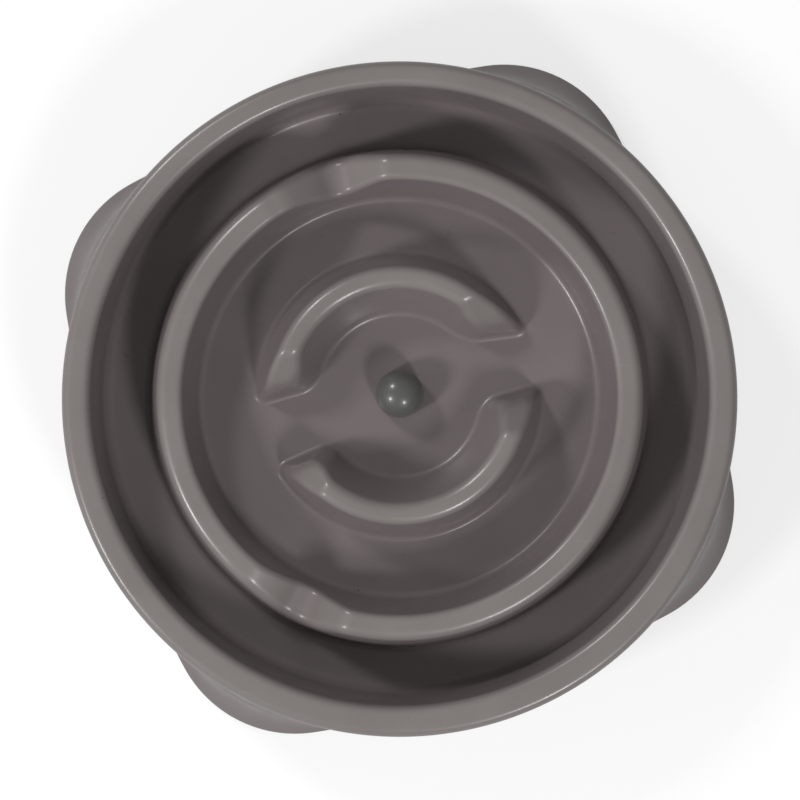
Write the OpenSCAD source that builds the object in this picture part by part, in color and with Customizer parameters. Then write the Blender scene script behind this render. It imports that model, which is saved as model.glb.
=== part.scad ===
// Slow feeder bowl, in millimetres.
// Origin: centre of the bowl on the table top. Z points up, and the lobes stand at lobe_turn and every
// quarter turn after it. The bowl is one hollow moulding; the knob and the four pads are pressed into it.

/* [Overall size] */
// Height from the table to the top of the rim
overall_h = 50; // [47:0.5:54]
// Thickness of the moulded wall
wall_t = 2.8; // [2.4:0.1:3.1]
// Gap between the table and the lower edge of the bowl
edge_gap = 1.5; // [1:0.1:2.2]

/* [Rim and walls] */
// Width of the rim, from its outer edge to the mouth
rim_w = 11.2; // [10:0.2:13]
// Rounding of the rim's outer edge
rim_outer_round = 3.4; // [3.2:0.1:4]
// Rounding of the rim's inner edge
rim_inner_round = 4; // [3.2:0.1:5]
// How far the skirt leans out between the rim and its lower edge
skirt_lean = 1.5; // [0.5:0.1:2.5]
// How far the inner wall leans in between the mouth and the floor
wall_lean = 1.9; // [1:0.1:3]

/* [Floor] */
// Height of the feeding floor above the table
floor_h = 12; // [11:0.5:14]
// Rounding between the floor and the inner wall
floor_round = 5; // [3:0.5:6]
// Radius of the pit inside the arc ridges
pit_r = 33.5; // [32:0.1:35]
// Width of the trough between the arc ridges and the ring ridge
inner_trough_w = 23.4; // [21:0.1:26]
// Width of the trough between the ring ridge and the inner wall
outer_trough_w = 18.6; // [17:0.1:20]

/* [Ring ridge] */
// Width of the ring ridge's top, between its leaning flanks
ring_top_w = 14.7; // [13:0.1:16]
// How far the inner flank leans over the ridge's height
ring_lean_in = 1.9; // [1:0.1:3]
// How far the outer flank leans over the ridge's height
ring_lean_out = 3.5; // [2.5:0.1:4.5]
// Height of the ring ridge above the floor
ring_rise = 27; // [24:0.5:30]
// Rounding of the ring ridge's two top edges
ring_round = 5; // [4:0.1:5.5]
// Rounding between the ring ridge and the floor
ring_foot_round = 2.5; // [1.5:0.1:3.5]

/* [Dips in the ring ridge] */
// Depth of the two dips below the ridge's top
dip_depth = 12; // [9:0.5:15]
// Direction of the back dip, in degrees
back_dip_turn = 107.5; // [100:0.5:115]
// Angle that the back dip takes up, in degrees
back_dip_sweep = 26; // [23:0.5:29]
// Direction of the front dip, in degrees
front_dip_turn = 243; // [236:0.5:250]
// Angle that the front dip takes up, in degrees
front_dip_sweep = 26; // [23:0.5:29]

/* [Arc ridges] */
// Width of the arc ridges' top, between their leaning flanks
arc_top_w = 7.5; // [6.5:0.1:9]
// How far the long inner flank leans over the ridge's height
arc_lean_in = 9.8; // [9:0.1:10.5]
// How far the outer flank leans over the ridge's height
arc_lean_out = 6.5; // [5.5:0.1:7.5]
// Height of the arc ridges above the floor
arc_rise = 25; // [23:0.5:28]
// Rounding of the arc ridges' two top edges
arc_round = 2.9; // [2.85:0.05:3.2]
// Direction in which the upper arc ridge starts, in degrees
upper_arc_from = 29; // [25:0.5:33]
// Direction in which the upper arc ridge ends, in degrees
upper_arc_to = 181; // [178:0.5:184]
// Direction in which the lower arc ridge starts, in degrees
lower_arc_from = 212; // [209:0.5:215]
// Direction in which the lower arc ridge ends, in degrees
lower_arc_to = 361; // [357:0.5:364]
// How far the ridge's top falls towards each end
arc_end_drop = 7; // [5:0.5:9]
// Length along the ridge over which its top falls
arc_end_run = 16; // [14:0.5:18]
// How much wider the rounded ends are at the floor than the ridge, on each side
arc_end_over = 1.6; // [1.3:0.1:2.6]
// How far the rounded ends lean in over the ridge's height
arc_end_lean = 5; // [4:0.1:6]
// How far the arc ridges sit behind the middle of the bowl
arc_shift = 1.5; // [0:0.1:2]

/* [Foot lobes] */
// Direction of the first foot lobe, in degrees
lobe_turn = 63.4; // [55:0.1:70]
// How far the foot lobes stand out beyond the rim
lobe_reach = 13.5; // [11:0.1:16]
// Radius of a lobe in plan
lobe_r = 51.2; // [49:0.2:53]
// Radius of the hollow sweep from the skirt out to the lobe's edge
lobe_sweep_r = 60; // [57:0.5:63]
// Rounding of the lobe's edge
lobe_edge_round = 2; // [1.5:0.1:2.4]
// Height of the upright part of the lobe's edge
lobe_edge_h = 1.3; // [1:0.1:1.8]
// How deep the top of the sweep runs into the skirt
lobe_bury = 0.9; // [0.6:0.1:1.3]

/* [Centre knob] */
// Radius of the knob
knob_r = 9.6; // [8.8:0.1:10.4]
// Height of the knob above the floor
knob_rise = 16; // [14:0.5:19]
// How far the knob sits behind the middle of the bowl
knob_shift = 2.1; // [0:0.1:2.5]
// Radius of the stem below the knob
knob_stem_r = 3; // [2.5:0.1:3.4]
// Length of the stem below the knob
knob_stem_l = 6; // [5:0.1:6.5]
// Wall of the socket round the stem
socket_wall = 2; // [1.6:0.1:2.4]
// Thickness of the socket's closed end
socket_end_t = 1.6; // [1.2:0.1:2]

/* [Non-slip pads] */
// Radius of a pad
pad_r = 6.5; // [6:0.1:6.8]
// Thickness of a pad
pad_t = 3; // [2.6:0.1:3.4]
// Rounding of a pad's lower edge
pad_edge_round = 1; // [0.6:0.1:1.4]
// Gap between a pad and the wall at the tip of its lobe
pad_margin = 0.7; // [0.5:0.1:1.7]
// Radius of a pad's stem
pad_stem_r = 2; // [1.7:0.1:2.3]
// Length of a pad's stem
pad_stem_l = 5; // [4:0.1:6]
// Radius of the post that holds a pad
post_r = 5; // [4.6:0.1:5.4]
// Height of the post above the pad
post_rise = 19; // [17:0.5:21]

/* [Fits] */
// Play round the stems of the knob and the pads
stem_play = 0.05; // [0.03:0.01:0.1]
// Free depth beyond the tips of the stems
tip_play = 0.4; // [0.3:0.1:0.6]

/* [Hidden] */
$fn = 96;
// How far cuts run past the faces that they open
overrun = 4;
// Angle that an arc ridge runs past its rounded ends before they trim it
over_turn = 5;
// Inside roundings smaller than this are left sharp
least_round = 0.5;
// Number of straight steps in each rounding of an outline
round_steps = 8;
// Number of straight steps in the sweep of a foot lobe
sweep_steps = 12;
// How far the S-shaped shoulders of a dip start above the ridge's top
shoulder_rise = 0.3;
// How far the edge roundings in a dip stay outside the curved inner and outer flanks
dip_slack_in = 1.6;
dip_slack_out = 0.3;

lobe_count = 4;
lobe_step = 360 / lobe_count;
dips = [[back_dip_turn, back_dip_sweep], [front_dip_turn, front_dip_sweep]];
arcs = [[upper_arc_from, upper_arc_to], [lower_arc_from, lower_arc_to]];

// Radii from the middle outwards: pit, arc ridge, trough, ring ridge, trough, wall, rim and lobe
arc_top_h = floor_h + arc_rise;
arc_top_in_r = pit_r + arc_lean_in;
arc_top_out_r = arc_top_in_r + arc_top_w;
arc_foot_out_r = arc_top_out_r + arc_lean_out;
arc_mid_r = (pit_r + arc_foot_out_r) / 2;
arc_drop_in_r = arc_top_in_r - arc_lean_in * arc_end_drop / arc_rise;
arc_drop_out_r = arc_top_out_r + arc_lean_out * arc_end_drop / arc_rise;
arc_end_foot_r = (arc_foot_out_r - pit_r) / 2 + arc_end_over;
arc_end_turn = asin(arc_end_foot_r / arc_mid_r);
arc_sink = wall_t / 2;

ring_foot_in_r = arc_foot_out_r + inner_trough_w;
ring_top_h = floor_h + ring_rise;
ring_top_in_r = ring_foot_in_r + ring_lean_in;
ring_top_out_r = ring_top_in_r + ring_top_w;
ring_foot_out_r = ring_top_out_r + ring_lean_out;
ring_mid_r = (ring_top_in_r + ring_top_out_r) / 2;
ring_dip_in_r = ring_top_in_r - ring_lean_in * dip_depth / ring_rise;
ring_dip_out_r = ring_top_out_r + ring_lean_out * dip_depth / ring_rise;

wall_foot_r = ring_foot_out_r + outer_trough_w;
mouth_r = wall_foot_r + wall_lean;
rim_mid_r = mouth_r + rim_w / 2;
rim_r = mouth_r + rim_w;
lobe_tip_r = rim_r + lobe_reach;
lobe_axis_r = lobe_tip_r - lobe_r;
lobe_top_r = rim_r - lobe_bury - lobe_axis_r;
sweep_axis_r = lobe_top_r + lobe_sweep_r;
edge_axis_r = lobe_r - lobe_edge_round;
edge_axis_h = edge_gap + lobe_edge_h;
sweep_fall = sqrt(pow(lobe_sweep_r + lobe_edge_round, 2) - pow(sweep_axis_r - edge_axis_r, 2));
sweep_axis_h = edge_axis_h + sweep_fall;
sweep_meet_turn = atan((sweep_axis_r - edge_axis_r) / sweep_fall);

knob_dome_h = floor_h + knob_rise - knob_r;
socket_r = knob_stem_r + stem_play + socket_wall;
socket_floor_h = floor_h - knob_stem_l - tip_play;
pad_axis_r = lobe_tip_r - wall_t - pad_margin - pad_r;
pad_hole_top_h = pad_t + pad_stem_l + tip_play;

// Upper outline of the moulding, from the skirt's lower edge over the rim to the middle of the floor
bowl_path = [
    [rim_r + skirt_lean, edge_gap],
    [rim_r, overall_h],
    [mouth_r, overall_h],
    [wall_foot_r, floor_h],
    [ring_foot_out_r, floor_h],
    [ring_top_out_r, ring_top_h],
    [ring_top_in_r, ring_top_h],
    [ring_foot_in_r, floor_h],
    [0, floor_h]
];
bowl_rounds = [
    0, rim_outer_round, rim_inner_round, floor_round, ring_foot_round, ring_round, ring_round, ring_foot_round, 0
];

// Outline of an arc ridge, from its outer foot inside the floor, over the top, to its inner foot
arc_path = [
    [arc_foot_out_r + arc_lean_out * arc_sink / arc_rise, floor_h - arc_sink],
    [arc_top_out_r, arc_top_h],
    [arc_top_in_r, arc_top_h],
    [pit_r - arc_lean_in * arc_sink / arc_rise, floor_h - arc_sink]
];
arc_rounds = [0, arc_round, arc_round, 0];

// Radius of an arc ridge's rounded end at height h
function arc_end_r(h) = arc_end_foot_r + arc_end_lean * (floor_h - h) / arc_rise;

// Directions along a path into and out of its point i
function unit(v) = v / norm(v);
function way_in(path, i) = i == 0 ? way_out(path, 0) : unit(path[i] - path[i - 1]);
function way_out(path, i) = i == len(path) - 1 ? way_in(path, i) : unit(path[i + 1] - path[i]);
function left_of(v) = [-v[1], v[0]];

// Point i moved to the left of both its edges by the same depth
function left_point(path, i, depth) =
    let (a = way_in(path, i), b = way_out(path, i))
    path[i] + (left_of(a) + left_of(b)) * depth / (1 + a * b);
function left_path(path, depth) = [for (i = [0 : len(path) - 1]) left_point(path, i, depth)];

// 1 where the path turns left at point i and -1 where it turns right
function side_of(path, i) = sign(cross(way_in(path, i), way_out(path, i)));

// Radii that keep the roundings parallel when the path moves to the left by depth
function left_rounds(path, rounds, depth) =
    [for (i = [0 : len(path) - 1])
        let (left = rounds[i] - side_of(path, i) * depth)
        rounds[i] == 0 || left < least_round ? 0 : left];

// Points of the rounding at point i, or the point itself where the path has a sharp corner
function corner_points(path, rounds, i) =
    rounds[i] == 0 ? [path[i]] :
    let (
        side = side_of(path, i),
        centre = left_point(path, i, side * rounds[i]),
        first = -left_of(way_in(path, i)) * side * rounds[i],
        turn = side * acos(way_in(path, i) * way_out(path, i))
    )
    [for (step = [0 : round_steps])
        let (a = turn * step / round_steps)
        centre + [first[0] * cos(a) - first[1] * sin(a), first[0] * sin(a) + first[1] * cos(a)]];

// Area below a path, with its corners rounded, down to the height low
module rounded_area(path, rounds, low) {
    last = len(path) - 1;
    polygon(concat(
        [for (i = [0 : last]) each corner_points(path, rounds, i)],
        [[path[last][0], low], [path[0][0], low]]
    ));
}

// The full outline when depth is zero, or the hollow that leaves a wall of that depth
module section(path, rounds, depth, low) {
    rounded_area(left_path(path, depth), left_rounds(path, rounds, depth), low);
}

// Cut that lowers a ridge in the direction turn, with a rounded valley and an S-shaped shoulder on each side
module saddle_cut(turn, in_r, out_r, top_h, half_run, drop, edge_round, depth) {
    fall = drop + shoulder_rise;
    bend_r = (half_run * half_run + fall * fall) / (4 * fall);
    valley_h = top_h - drop + bend_r;
    shoulder_h = top_h + shoulder_rise - bend_r;
    in_axis_r = in_r - dip_slack_in + edge_round;
    out_axis_r = out_r + dip_slack_out - edge_round;
    low_r = in_axis_r - edge_round - overrun;
    high_r = out_axis_r + edge_round + overrun;
    meet_share = (bend_r + depth) / (2 * bend_r);
    meet_y = meet_share * half_run;
    meet_h = valley_h - meet_share * (valley_h - shoulder_h);
    rotate([0, 0, turn]) {
        translate([0, 0, valley_h]) rotate([0, 90, 0]) rotate_extrude() difference() {
            translate([0, low_r]) square([bend_r + (depth == 0 ? edge_round : depth), high_r - low_r]);
            if (depth == 0) {
                translate([bend_r, in_axis_r]) square([edge_round + overrun, out_axis_r - in_axis_r]);
                for (r = [in_axis_r, out_axis_r]) translate([bend_r + edge_round, r]) circle(r = edge_round);
            }
        }
        for (side = [0, 1]) mirror([0, side, 0]) difference() {
            translate([low_r, meet_y, meet_h]) cube([high_r - low_r, half_run - meet_y, bend_r]);
            translate([low_r - overrun, half_run, shoulder_h])
                rotate([0, 90, 0]) cylinder(r = bend_r - depth, h = high_r - low_r + 2 * overrun);
        }
    }
}

module ring_dips(depth) {
    for (dip = dips)
        saddle_cut(dip[0], ring_dip_in_r, ring_dip_out_r, ring_top_h, ring_mid_r * sin(dip[1] / 2), dip_depth,
            ring_round, depth);
}

// Rounded end of an arc ridge, on the ridge's middle line
module arc_end(turn, depth) {
    rotate([0, 0, turn]) translate([arc_mid_r, 0, 0])
        cylinder(r1 = arc_end_r(0) - depth, r2 = arc_end_r(overall_h) - depth, h = overall_h);
}

module arc_ridges(depth, low) {
    for (arc = arcs) translate([0, arc_shift, 0]) difference() {
        intersection() {
            rotate([0, 0, arc[0] - over_turn])
                rotate_extrude(angle = arc[1] - arc[0] + 2 * over_turn)
                    section(arc_path, arc_rounds, depth, low);
            union() {
                rotate([0, 0, arc[0] + arc_end_turn])
                    rotate_extrude(angle = arc[1] - arc[0] - 2 * arc_end_turn)
                        translate([knob_r, 0]) square([ring_foot_in_r - knob_r, overall_h]);
                arc_end(arc[0] + arc_end_turn, depth);
                arc_end(arc[1] - arc_end_turn, depth);
            }
        }
        for (end = arc)
            saddle_cut(end, arc_drop_in_r, arc_drop_out_r, arc_top_h, arc_end_run, arc_end_drop, arc_round, depth);
    }
}

// Points on an arc about centre, between two directions in degrees
function arc_points(centre, r, from, to, steps) =
    [for (step = [0 : steps])
        let (a = from + (to - from) * step / steps)
        centre + r * [cos(a), sin(a)]];

// Half section of a foot lobe about its own upright axis: the edge, its rounding and the hollow sweep
module lobe_section(depth, low) {
    edge_r = lobe_r - depth;
    sweep_r = lobe_sweep_r + depth;
    edge_turn = depth == 0 ? sweep_meet_turn : asin((sweep_axis_r - edge_r) / sweep_r);
    polygon(concat(
        [[0, low], [edge_r, low]],
        depth == 0 ? arc_points([edge_axis_r, edge_axis_h], lobe_edge_round, 0, 90 - edge_turn, round_steps) : [],
        arc_points([sweep_axis_r, sweep_axis_h], sweep_r, 270 - edge_turn, 180, sweep_steps),
        [[0, sweep_axis_h]]
    ));
}

module lobes(depth, low) {
    difference() {
        for (i = [0 : lobe_count - 1])
            rotate([0, 0, lobe_turn + i * lobe_step]) translate([lobe_axis_r, 0, 0])
                rotate_extrude() lobe_section(depth, low);
        translate([0, 0, low - overrun]) cylinder(r = rim_mid_r, h = overall_h + 2 * overrun);
    }
}

module at_pads() {
    for (i = [0 : lobe_count - 1])
        rotate([0, 0, lobe_turn + i * lobe_step]) translate([pad_axis_r, 0, 0]) children();
}

// Space below the moulding, without the posts for the pads and the socket for the knob
module hollow() {
    low = edge_gap - overrun;
    difference() {
        union() {
            difference() {
                rotate_extrude() section(bowl_path, bowl_rounds, wall_t, low);
                ring_dips(wall_t);
            }
            arc_ridges(wall_t, low);
            lobes(wall_t, low);
        }
        at_pads() translate([0, 0, pad_t]) cylinder(r = post_r, h = post_rise);
        translate([0, knob_shift, socket_floor_h - socket_end_t]) cylinder(r = socket_r, h = floor_h);
    }
}

module bowl_body() {
    color([0.506, 0.486, 0.475]) difference() {
        union() {
            difference() {
                rotate_extrude() section(bowl_path, bowl_rounds, 0, edge_gap);
                ring_dips(0);
            }
            arc_ridges(0, edge_gap + overrun);
            lobes(0, edge_gap);
        }
        hollow();
        at_pads() cylinder(r = pad_stem_r + stem_play, h = pad_hole_top_h);
        translate([0, knob_shift, socket_floor_h]) cylinder(r = knob_stem_r + stem_play, h = floor_h);
    }
}

// Domed knob on a stem that fills the socket in the middle of the floor
module centre_knob() {
    color([0.33, 0.33, 0.325]) translate([0, knob_shift, 0]) rotate_extrude() {
        translate([0, floor_h]) square([knob_r, knob_dome_h - floor_h]);
        intersection() {
            translate([0, knob_dome_h]) circle(r = knob_r);
            translate([0, knob_dome_h]) square(knob_r);
        }
        translate([0, floor_h - knob_stem_l]) square([knob_stem_r, knob_stem_l]);
    }
}

// One rubber pad with its stem, at the lobe of that number
module non_slip_pad(number) {
    color([0.16, 0.16, 0.16]) rotate([0, 0, lobe_turn + (number - 1) * lobe_step])
        translate([pad_axis_r, 0, 0]) rotate_extrude() {
            square([pad_r - pad_edge_round, pad_t]);
            translate([0, pad_edge_round]) square([pad_r, pad_t - pad_edge_round]);
            intersection() {
                translate([pad_r - pad_edge_round, pad_edge_round]) circle(r = pad_edge_round);
                square(pad_r);
            }
            square([pad_stem_r, pad_t + pad_stem_l]);
        }
}

bowl_body();
centre_knob();
non_slip_pad(1);  // non_slip_pad_1
non_slip_pad(2);  // non_slip_pad_2
non_slip_pad(3);  // non_slip_pad_3
non_slip_pad(4);  // non_slip_pad_4
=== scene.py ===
"""Slow feeder bowl: its visible pieces, their finishes and a plain studio.

The solid model is loaded as a fixed frame. Each class holds the sizes of one sub-assembly in millimetres,
builds its meshes in that frame and dresses them. The bowl stands on the plane z = 0 with its middle at the
origin, and +Y points to its back. Angles run counter-clockwise from +X, and fields hold them in degrees.
Names end in _r for a radius, _h for a height, _w for a width, _d for a depth, _t for a thickness and _steps
for a count.
"""

import logging
import math
from collections.abc import Sequence
from dataclasses import dataclass, field
from enum import Enum

import bpy
import numpy as np
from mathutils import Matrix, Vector

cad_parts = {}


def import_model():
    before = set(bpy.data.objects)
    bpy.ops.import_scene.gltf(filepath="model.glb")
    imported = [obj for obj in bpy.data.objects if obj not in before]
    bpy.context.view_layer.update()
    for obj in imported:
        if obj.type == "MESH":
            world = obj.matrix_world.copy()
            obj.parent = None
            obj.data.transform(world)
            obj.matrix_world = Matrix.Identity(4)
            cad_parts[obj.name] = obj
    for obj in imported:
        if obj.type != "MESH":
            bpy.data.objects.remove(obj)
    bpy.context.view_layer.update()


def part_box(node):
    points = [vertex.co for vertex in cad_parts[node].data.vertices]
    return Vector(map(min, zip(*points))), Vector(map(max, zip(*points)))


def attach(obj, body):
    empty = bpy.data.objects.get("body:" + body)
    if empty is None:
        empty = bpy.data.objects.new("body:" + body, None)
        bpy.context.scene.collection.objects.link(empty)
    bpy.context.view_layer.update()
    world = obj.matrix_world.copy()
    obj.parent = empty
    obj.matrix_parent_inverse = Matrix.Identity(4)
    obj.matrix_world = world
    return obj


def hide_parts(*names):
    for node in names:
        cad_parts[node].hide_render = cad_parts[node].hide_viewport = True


LOG = logging.getLogger("slow_feeder_bowl")
MM = 0.001
BODY = "root"
# Mesh attribute of wear and painted sheen: full on raised level faces, which are coloured lighter; low faces
# keep the darker plain colour as painted shade.
WEAR_AND_SHEEN = "wear_and_sheen"
WHITE = (1.0, 1.0, 1.0, 1.0)
Array = np.ndarray
Socket = bpy.types.NodeSocket


def ease(share: Array | float) -> Array:
    """Smooth step from 0 to 1, level at both ends."""
    held = np.clip(share, 0.0, 1.0)
    return held * held * (3.0 - 2.0 * held)


def round_meet(one: Array, other: Array, radius: float) -> Array:
    """Distance outside the space that two forms share, with the edge between them rounded."""
    near = np.hypot(np.maximum(one + radius, 0.0), np.maximum(other + radius, 0.0))
    return np.minimum(np.maximum(one, other), -radius) + near


def round_join(one: Array, other: Array, radius: float) -> Array:
    """Distance outside two joined forms, with the corner between them filled to a radius."""
    near = np.hypot(np.maximum(radius - one, 0.0), np.maximum(radius - other, 0.0))
    return np.maximum(np.minimum(one, other), radius) - near


def soft_max(one: Array | float, other: Array | float, blend: float) -> Array:
    """Larger of two values, with a soft change from one to the other.

    Args:
        one: First values.
        other: Second values.
        blend: Difference within which the two blend.

    Returns:
        The blended larger values.
    """
    if blend <= 0.0:
        return np.maximum(one, other)
    share = np.maximum(blend - np.abs(one - other), 0.0) / blend
    return np.maximum(one, other) + share * share * blend / 4.0


def close_at_ends(steps: int) -> Array:
    """Shares from 0 to 1, closer together at both ends, without the first one."""
    return (1.0 - np.cos(np.pi * np.arange(1, steps + 1) / steps)) / 2.0


def arc_points(middle: Sequence[float], radius: float, first: float, last: float, steps: int) -> Array:
    """Radius and height of a rounding's points, between two directions in degrees, without the first."""
    turn = np.radians(first + (last - first) * np.arange(1, steps + 1) / steps)
    return np.column_stack((middle[0] + radius * np.cos(turn), middle[1] + radius * np.sin(turn)))


def leaning(lean: float, rise: float) -> float:
    """Distance square to a face that leans so far over its rise, for each unit of level distance."""
    return math.cos(math.atan(lean / rise))


def degrees_between(turn: Array | float, other: float) -> Array:
    """Signed angle from other to turn, between -180 and 180 degrees."""
    return (turn - other + 180.0) % 360.0 - 180.0


class MathKind(Enum):
    """Sums that a finish asks for."""

    ADD = "ADD"
    TIMES = "MULTIPLY"
    MOST = "MAXIMUM"
    ABOVE = "GREATER_THAN"


class NodeBench:
    """Builds the node tree of one material or world."""

    def __init__(self, tree: bpy.types.NodeTree) -> None:
        """Clears the tree of a material or world, and keeps it."""
        self.tree = tree
        self.tree.nodes.clear()

    def add(self, kind: str, inputs: dict | None = None, **settings: object) -> bpy.types.Node:
        """Adds a node.

        Args:
            kind: Blender's name for the kind of node.
            inputs: Value or linked socket for each input, by its name or number.
            settings: Values of the node's own properties.

        Returns:
            The new node.
        """
        node = self.tree.nodes.new(kind)
        for name, value in settings.items():
            setattr(node, name, value)
        for name, value in (inputs or {}).items():
            if isinstance(value, Socket):
                self.tree.links.new(value, node.inputs[name])
            else:
                node.inputs[name].default_value = value
        return node

    def place(self) -> Socket:
        """Position on the surface, in metres."""
        return self.add("ShaderNodeTexCoord").outputs["Object"]

    def wear_and_sheen(self) -> Socket:
        """Share of wear and painted sheen on the surface, full on raised level faces."""
        return self.add("ShaderNodeAttribute", attribute_name=WEAR_AND_SHEEN).outputs["Fac"]

    def stretched(self, place: Socket, turn: float, scale: Sequence[float]) -> Socket:
        """Position turned about the upright axis, in degrees, and scaled along each axis."""
        inputs = {"Vector": place, "Rotation": (0.0, 0.0, math.radians(turn)), "Scale": scale}
        return self.add("ShaderNodeMapping", inputs).outputs[0]

    def noise(self, place: Socket, cells: float, detail: float) -> Socket:
        """Cloudy noise about 0.5, with so many cells in a metre and so many finer layers."""
        return self.add("ShaderNodeTexNoise", {"Vector": place, "Scale": cells, "Detail": detail}).outputs[0]

    def spread(
        self, value: Socket, low: float, high: float, to_low: float = 0.0, to_high: float = 1.0
    ) -> Socket:
        """Value moved from the range of low to high to another one, and held at its ends."""
        inputs = {"Value": value, "From Min": low, "From Max": high, "To Min": to_low, "To Max": to_high}
        return self.add("ShaderNodeMapRange", inputs).outputs[0]

    def sum_of(self, kind: MathKind, one: object, other: object) -> Socket:
        """Result of one sum on two sockets or numbers."""
        return self.add("ShaderNodeMath", {0: one, 1: other}, operation=kind.value).outputs[0]

    def blend(self, share: object, first: object, second: object) -> Socket:
        """Mix of two colours, where a share of 0 gives the first and 1 the second."""
        inputs = {0: share, 6: first, 7: second}
        return self.add("ShaderNodeMix", inputs, data_type="RGBA").outputs[2]

    def bump(self, height: Socket, strength: float, depth: float, normal: Socket | None = None) -> Socket:
        """Raised detail on the surface.

        Args:
            height: Socket of the height.
            strength: Share of the detail that shows.
            depth: Height of the detail, in metres.
            normal: Socket of the normal below it, if any.

        Returns:
            The socket of the new normal.
        """
        inputs = {"Height": height, "Strength": strength, "Distance": depth}
        if normal is not None:
            inputs["Normal"] = normal
        return self.add("ShaderNodeBump", inputs).outputs[0]


@dataclass(frozen=True)
class Tint:
    """Colour in linear light."""

    red: float
    green: float
    blue: float

    def scaled(self, share: float) -> tuple[float, float, float, float]:
        """The colour times a share, as Blender takes it."""
        return (self.red * share, self.green * share, self.blue * share, 1.0)


@dataclass(frozen=True)
class Clouds:
    """Cloudy pattern, of which the tones between low and high are spread out."""

    cells: float
    detail: float
    low: float
    high: float

    def share(self, bench: NodeBench, place: Socket, to_low: float = 0.0, to_high: float = 1.0) -> Socket:
        """Value of the pattern at a place on the surface."""
        return bench.spread(bench.noise(place, self.cells, self.detail), self.low, self.high, to_low, to_high)


@dataclass(frozen=True)
class Relief:
    """Cloudy raised detail, with its depth in metres."""

    cells: float
    detail: float
    strength: float
    depth: float

    def normal(self, bench: NodeBench, place: Socket, below: Socket | None = None) -> Socket:
        """Normal at a place on the surface, on top of the normal below it if there is one."""
        return bench.bump(bench.noise(place, self.cells, self.detail), self.strength, self.depth, below)


@dataclass(frozen=True)
class Streaks:
    """Fine streaks that run one way."""

    turn: float
    cells_along: float
    cells_across: float

    def share(self, bench: NodeBench, place: Socket) -> Socket:
        """Value of the streaks at a place on the surface."""
        scale = (self.cells_along, self.cells_across, self.cells_along)
        return bench.noise(bench.stretched(place, self.turn, scale), cells=1.0, detail=1.0)


@dataclass(frozen=True)
class Finish:
    """Finish of a piece, with the record's slot for it."""

    name: str
    slot: str
    tint: Tint

    def inputs(self, bench: NodeBench, place: Socket) -> dict[str, Socket | float]:
        """Value or socket for each input of the shader, which each kind of finish works out."""
        raise NotImplementedError

    def material(self) -> bpy.types.Material:
        """Makes the material.

        Returns:
            The new material.
        """
        made = bpy.data.materials.new(self.name)
        made.use_nodes = True
        bench = NodeBench(made.node_tree)
        shader = bench.add("ShaderNodeBsdfPrincipled", self.inputs(bench, bench.place()))
        bench.add("ShaderNodeOutputMaterial", {"Surface": shader.outputs[0]})
        return made


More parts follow.
